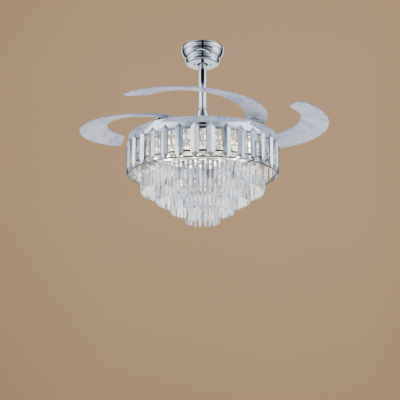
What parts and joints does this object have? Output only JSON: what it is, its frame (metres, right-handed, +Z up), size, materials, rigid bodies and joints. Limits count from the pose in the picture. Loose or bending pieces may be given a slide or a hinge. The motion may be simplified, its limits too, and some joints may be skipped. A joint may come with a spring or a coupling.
{
  "type": "ceiling fan with folding blades",
  "caption": "Ceiling fan with clear blades that fold in over a chrome drum, hung on a rod, with a light of stepped crystal rows below.",
  "frame": {"origin": "centre of the ceiling bracket's top face, which lies against the ceiling", "axes": "+Z up along the downrod, -Y towards the camera of the picture, X across it"},
  "size_m": [0.8326, 0.8326, 0.617],
  "materials": {
    "steel": "zinc-plated, satin",
    "chrome": "polished chrome plate",
    "band_chrome": "polished chrome plate",
    "aluminium": "die cast, satin",
    "nylon": "dark moulded nylon",
    "white_plastic": "moulded, satin white",
    "copper": "enamelled copper wire",
    "lamination": "stamped steel laminations",
    "magnet": "sintered magnet, dark",
    "rubber": "soft black rubber",
    "clear_blade": "clear acrylic, polished, faint violet tint",
    "crystal": "cut clear crystal",
    "opal": "opal white diffuser, lit warm white",
    "board": "white solder mask"
  },
  "bodies": {
    "ceiling": {"ceiling_bracket": "steel", "canopy": "chrome", "canopy_screw_1": "chrome", "canopy_screw_2": "chrome", "receiver_box": "white_plastic"},
    "hanging": {"hanger_ball": "nylon", "hanger_pin": "steel", "downrod": "chrome", "coupling_collar": "steel", "coupling_bolt": "steel", "coupling_cup": "chrome", "motor_shaft": "steel", "stator_core": "lamination", "stator_windings": "copper", "drum_band": "band_chrome", "light_pan": "chrome", "light_mount_plate": "steel", "shaft_nut": "steel", "led_driver": "white_plastic", "led_board": "board", "light_diffuser": "opal", "outer_crystals": "crystal", "set_back_crystals": "crystal", "crystal_guard_ring": "chrome", "tier_frame": "chrome", "crystal_tier_2": "crystal", "crystal_tier_3": "crystal", "crystal_tier_4": "crystal", "crystal_tier_5": "crystal"},
    "rotor": {"motor_top_cover": "chrome", "motor_bottom_cover": "aluminium", "rotor_magnets": "magnet", "upper_bearing": "steel", "lower_bearing": "steel", "blade_carrier": "chrome", "pivot_pin_1": "steel", "pivot_pin_2": "steel", "pivot_pin_3": "steel", "pivot_pin_4": "steel", "stop_bumper_1": "rubber", "stop_bumper_2": "rubber", "stop_bumper_3": "rubber", "stop_bumper_4": "rubber", "fold_spring_1": "steel", "fold_spring_2": "steel", "fold_spring_3": "steel", "fold_spring_4": "steel"},
    "synchro": {"synchro_ring": "steel"},
    "folding_blade_1": {"blade_arm_1": "chrome", "blade_1": "clear_blade", "blade_clamp_1": "chrome"},
    "folding_blade_2": {"blade_arm_2": "chrome", "blade_2": "clear_blade", "blade_clamp_2": "chrome"},
    "folding_blade_3": {"blade_arm_3": "chrome", "blade_3": "clear_blade", "blade_clamp_3": "chrome"},
    "folding_blade_4": {"blade_arm_4": "chrome", "blade_4": "clear_blade", "blade_clamp_4": "chrome"}
  },
  "joints": [
    {"name": "hanger_swing", "type": "hinge", "parent": "ceiling", "child": "hanging", "pos_m": [0, 0, -0.03405], "axis": [1, 0, 0], "range_deg": [-8, 8]},
    {"name": "rotor_spin", "type": "hinge", "parent": "hanging", "child": "rotor", "pos_m": [0, 0, -0.326], "axis": [0, 0, 1], "continuous": true},
    {"name": "blade_1_fold", "type": "hinge", "parent": "rotor", "child": "folding_blade_1", "pos_m": [0.16043, -0.12762, -0.31], "axis": [0, 0, -1], "range_deg": [0, 51], "stiffness_Nm_per_rad": 0.15, "springref_deg": 75},
    {"name": "blade_2_fold", "type": "hinge", "parent": "rotor", "child": "folding_blade_2", "pos_m": [0.12762, 0.16043, -0.31], "axis": [0, 0, -1], "range_deg": [0, 51], "stiffness_Nm_per_rad": 0.15, "springref_deg": 75},
    {"name": "blade_3_fold", "type": "hinge", "parent": "rotor", "child": "folding_blade_3", "pos_m": [-0.16043, 0.12762, -0.31], "axis": [0, 0, -1], "range_deg": [0, 51], "stiffness_Nm_per_rad": 0.15, "springref_deg": 75},
    {"name": "blade_4_fold", "type": "hinge", "parent": "rotor", "child": "folding_blade_4", "pos_m": [-0.12762, -0.16043, -0.31], "axis": [0, 0, -1], "range_deg": [0, 51], "stiffness_Nm_per_rad": 0.15, "springref_deg": 75},
    {"name": "synchro_turn", "type": "hinge", "parent": "rotor", "child": "synchro", "pos_m": [0, 0, -0.311], "axis": [0, 0, 1], "range_deg": [0, 12.75]}
  ],
  "couplings": [
    {"joint": "blade_2_fold", "follows": "blade_1_fold", "ratio": 1},
    {"joint": "blade_3_fold", "follows": "blade_1_fold", "ratio": 1},
    {"joint": "blade_4_fold", "follows": "blade_1_fold", "ratio": 1},
    {"joint": "synchro_turn", "follows": "blade_1_fold", "ratio": 0.25}
  ]
}
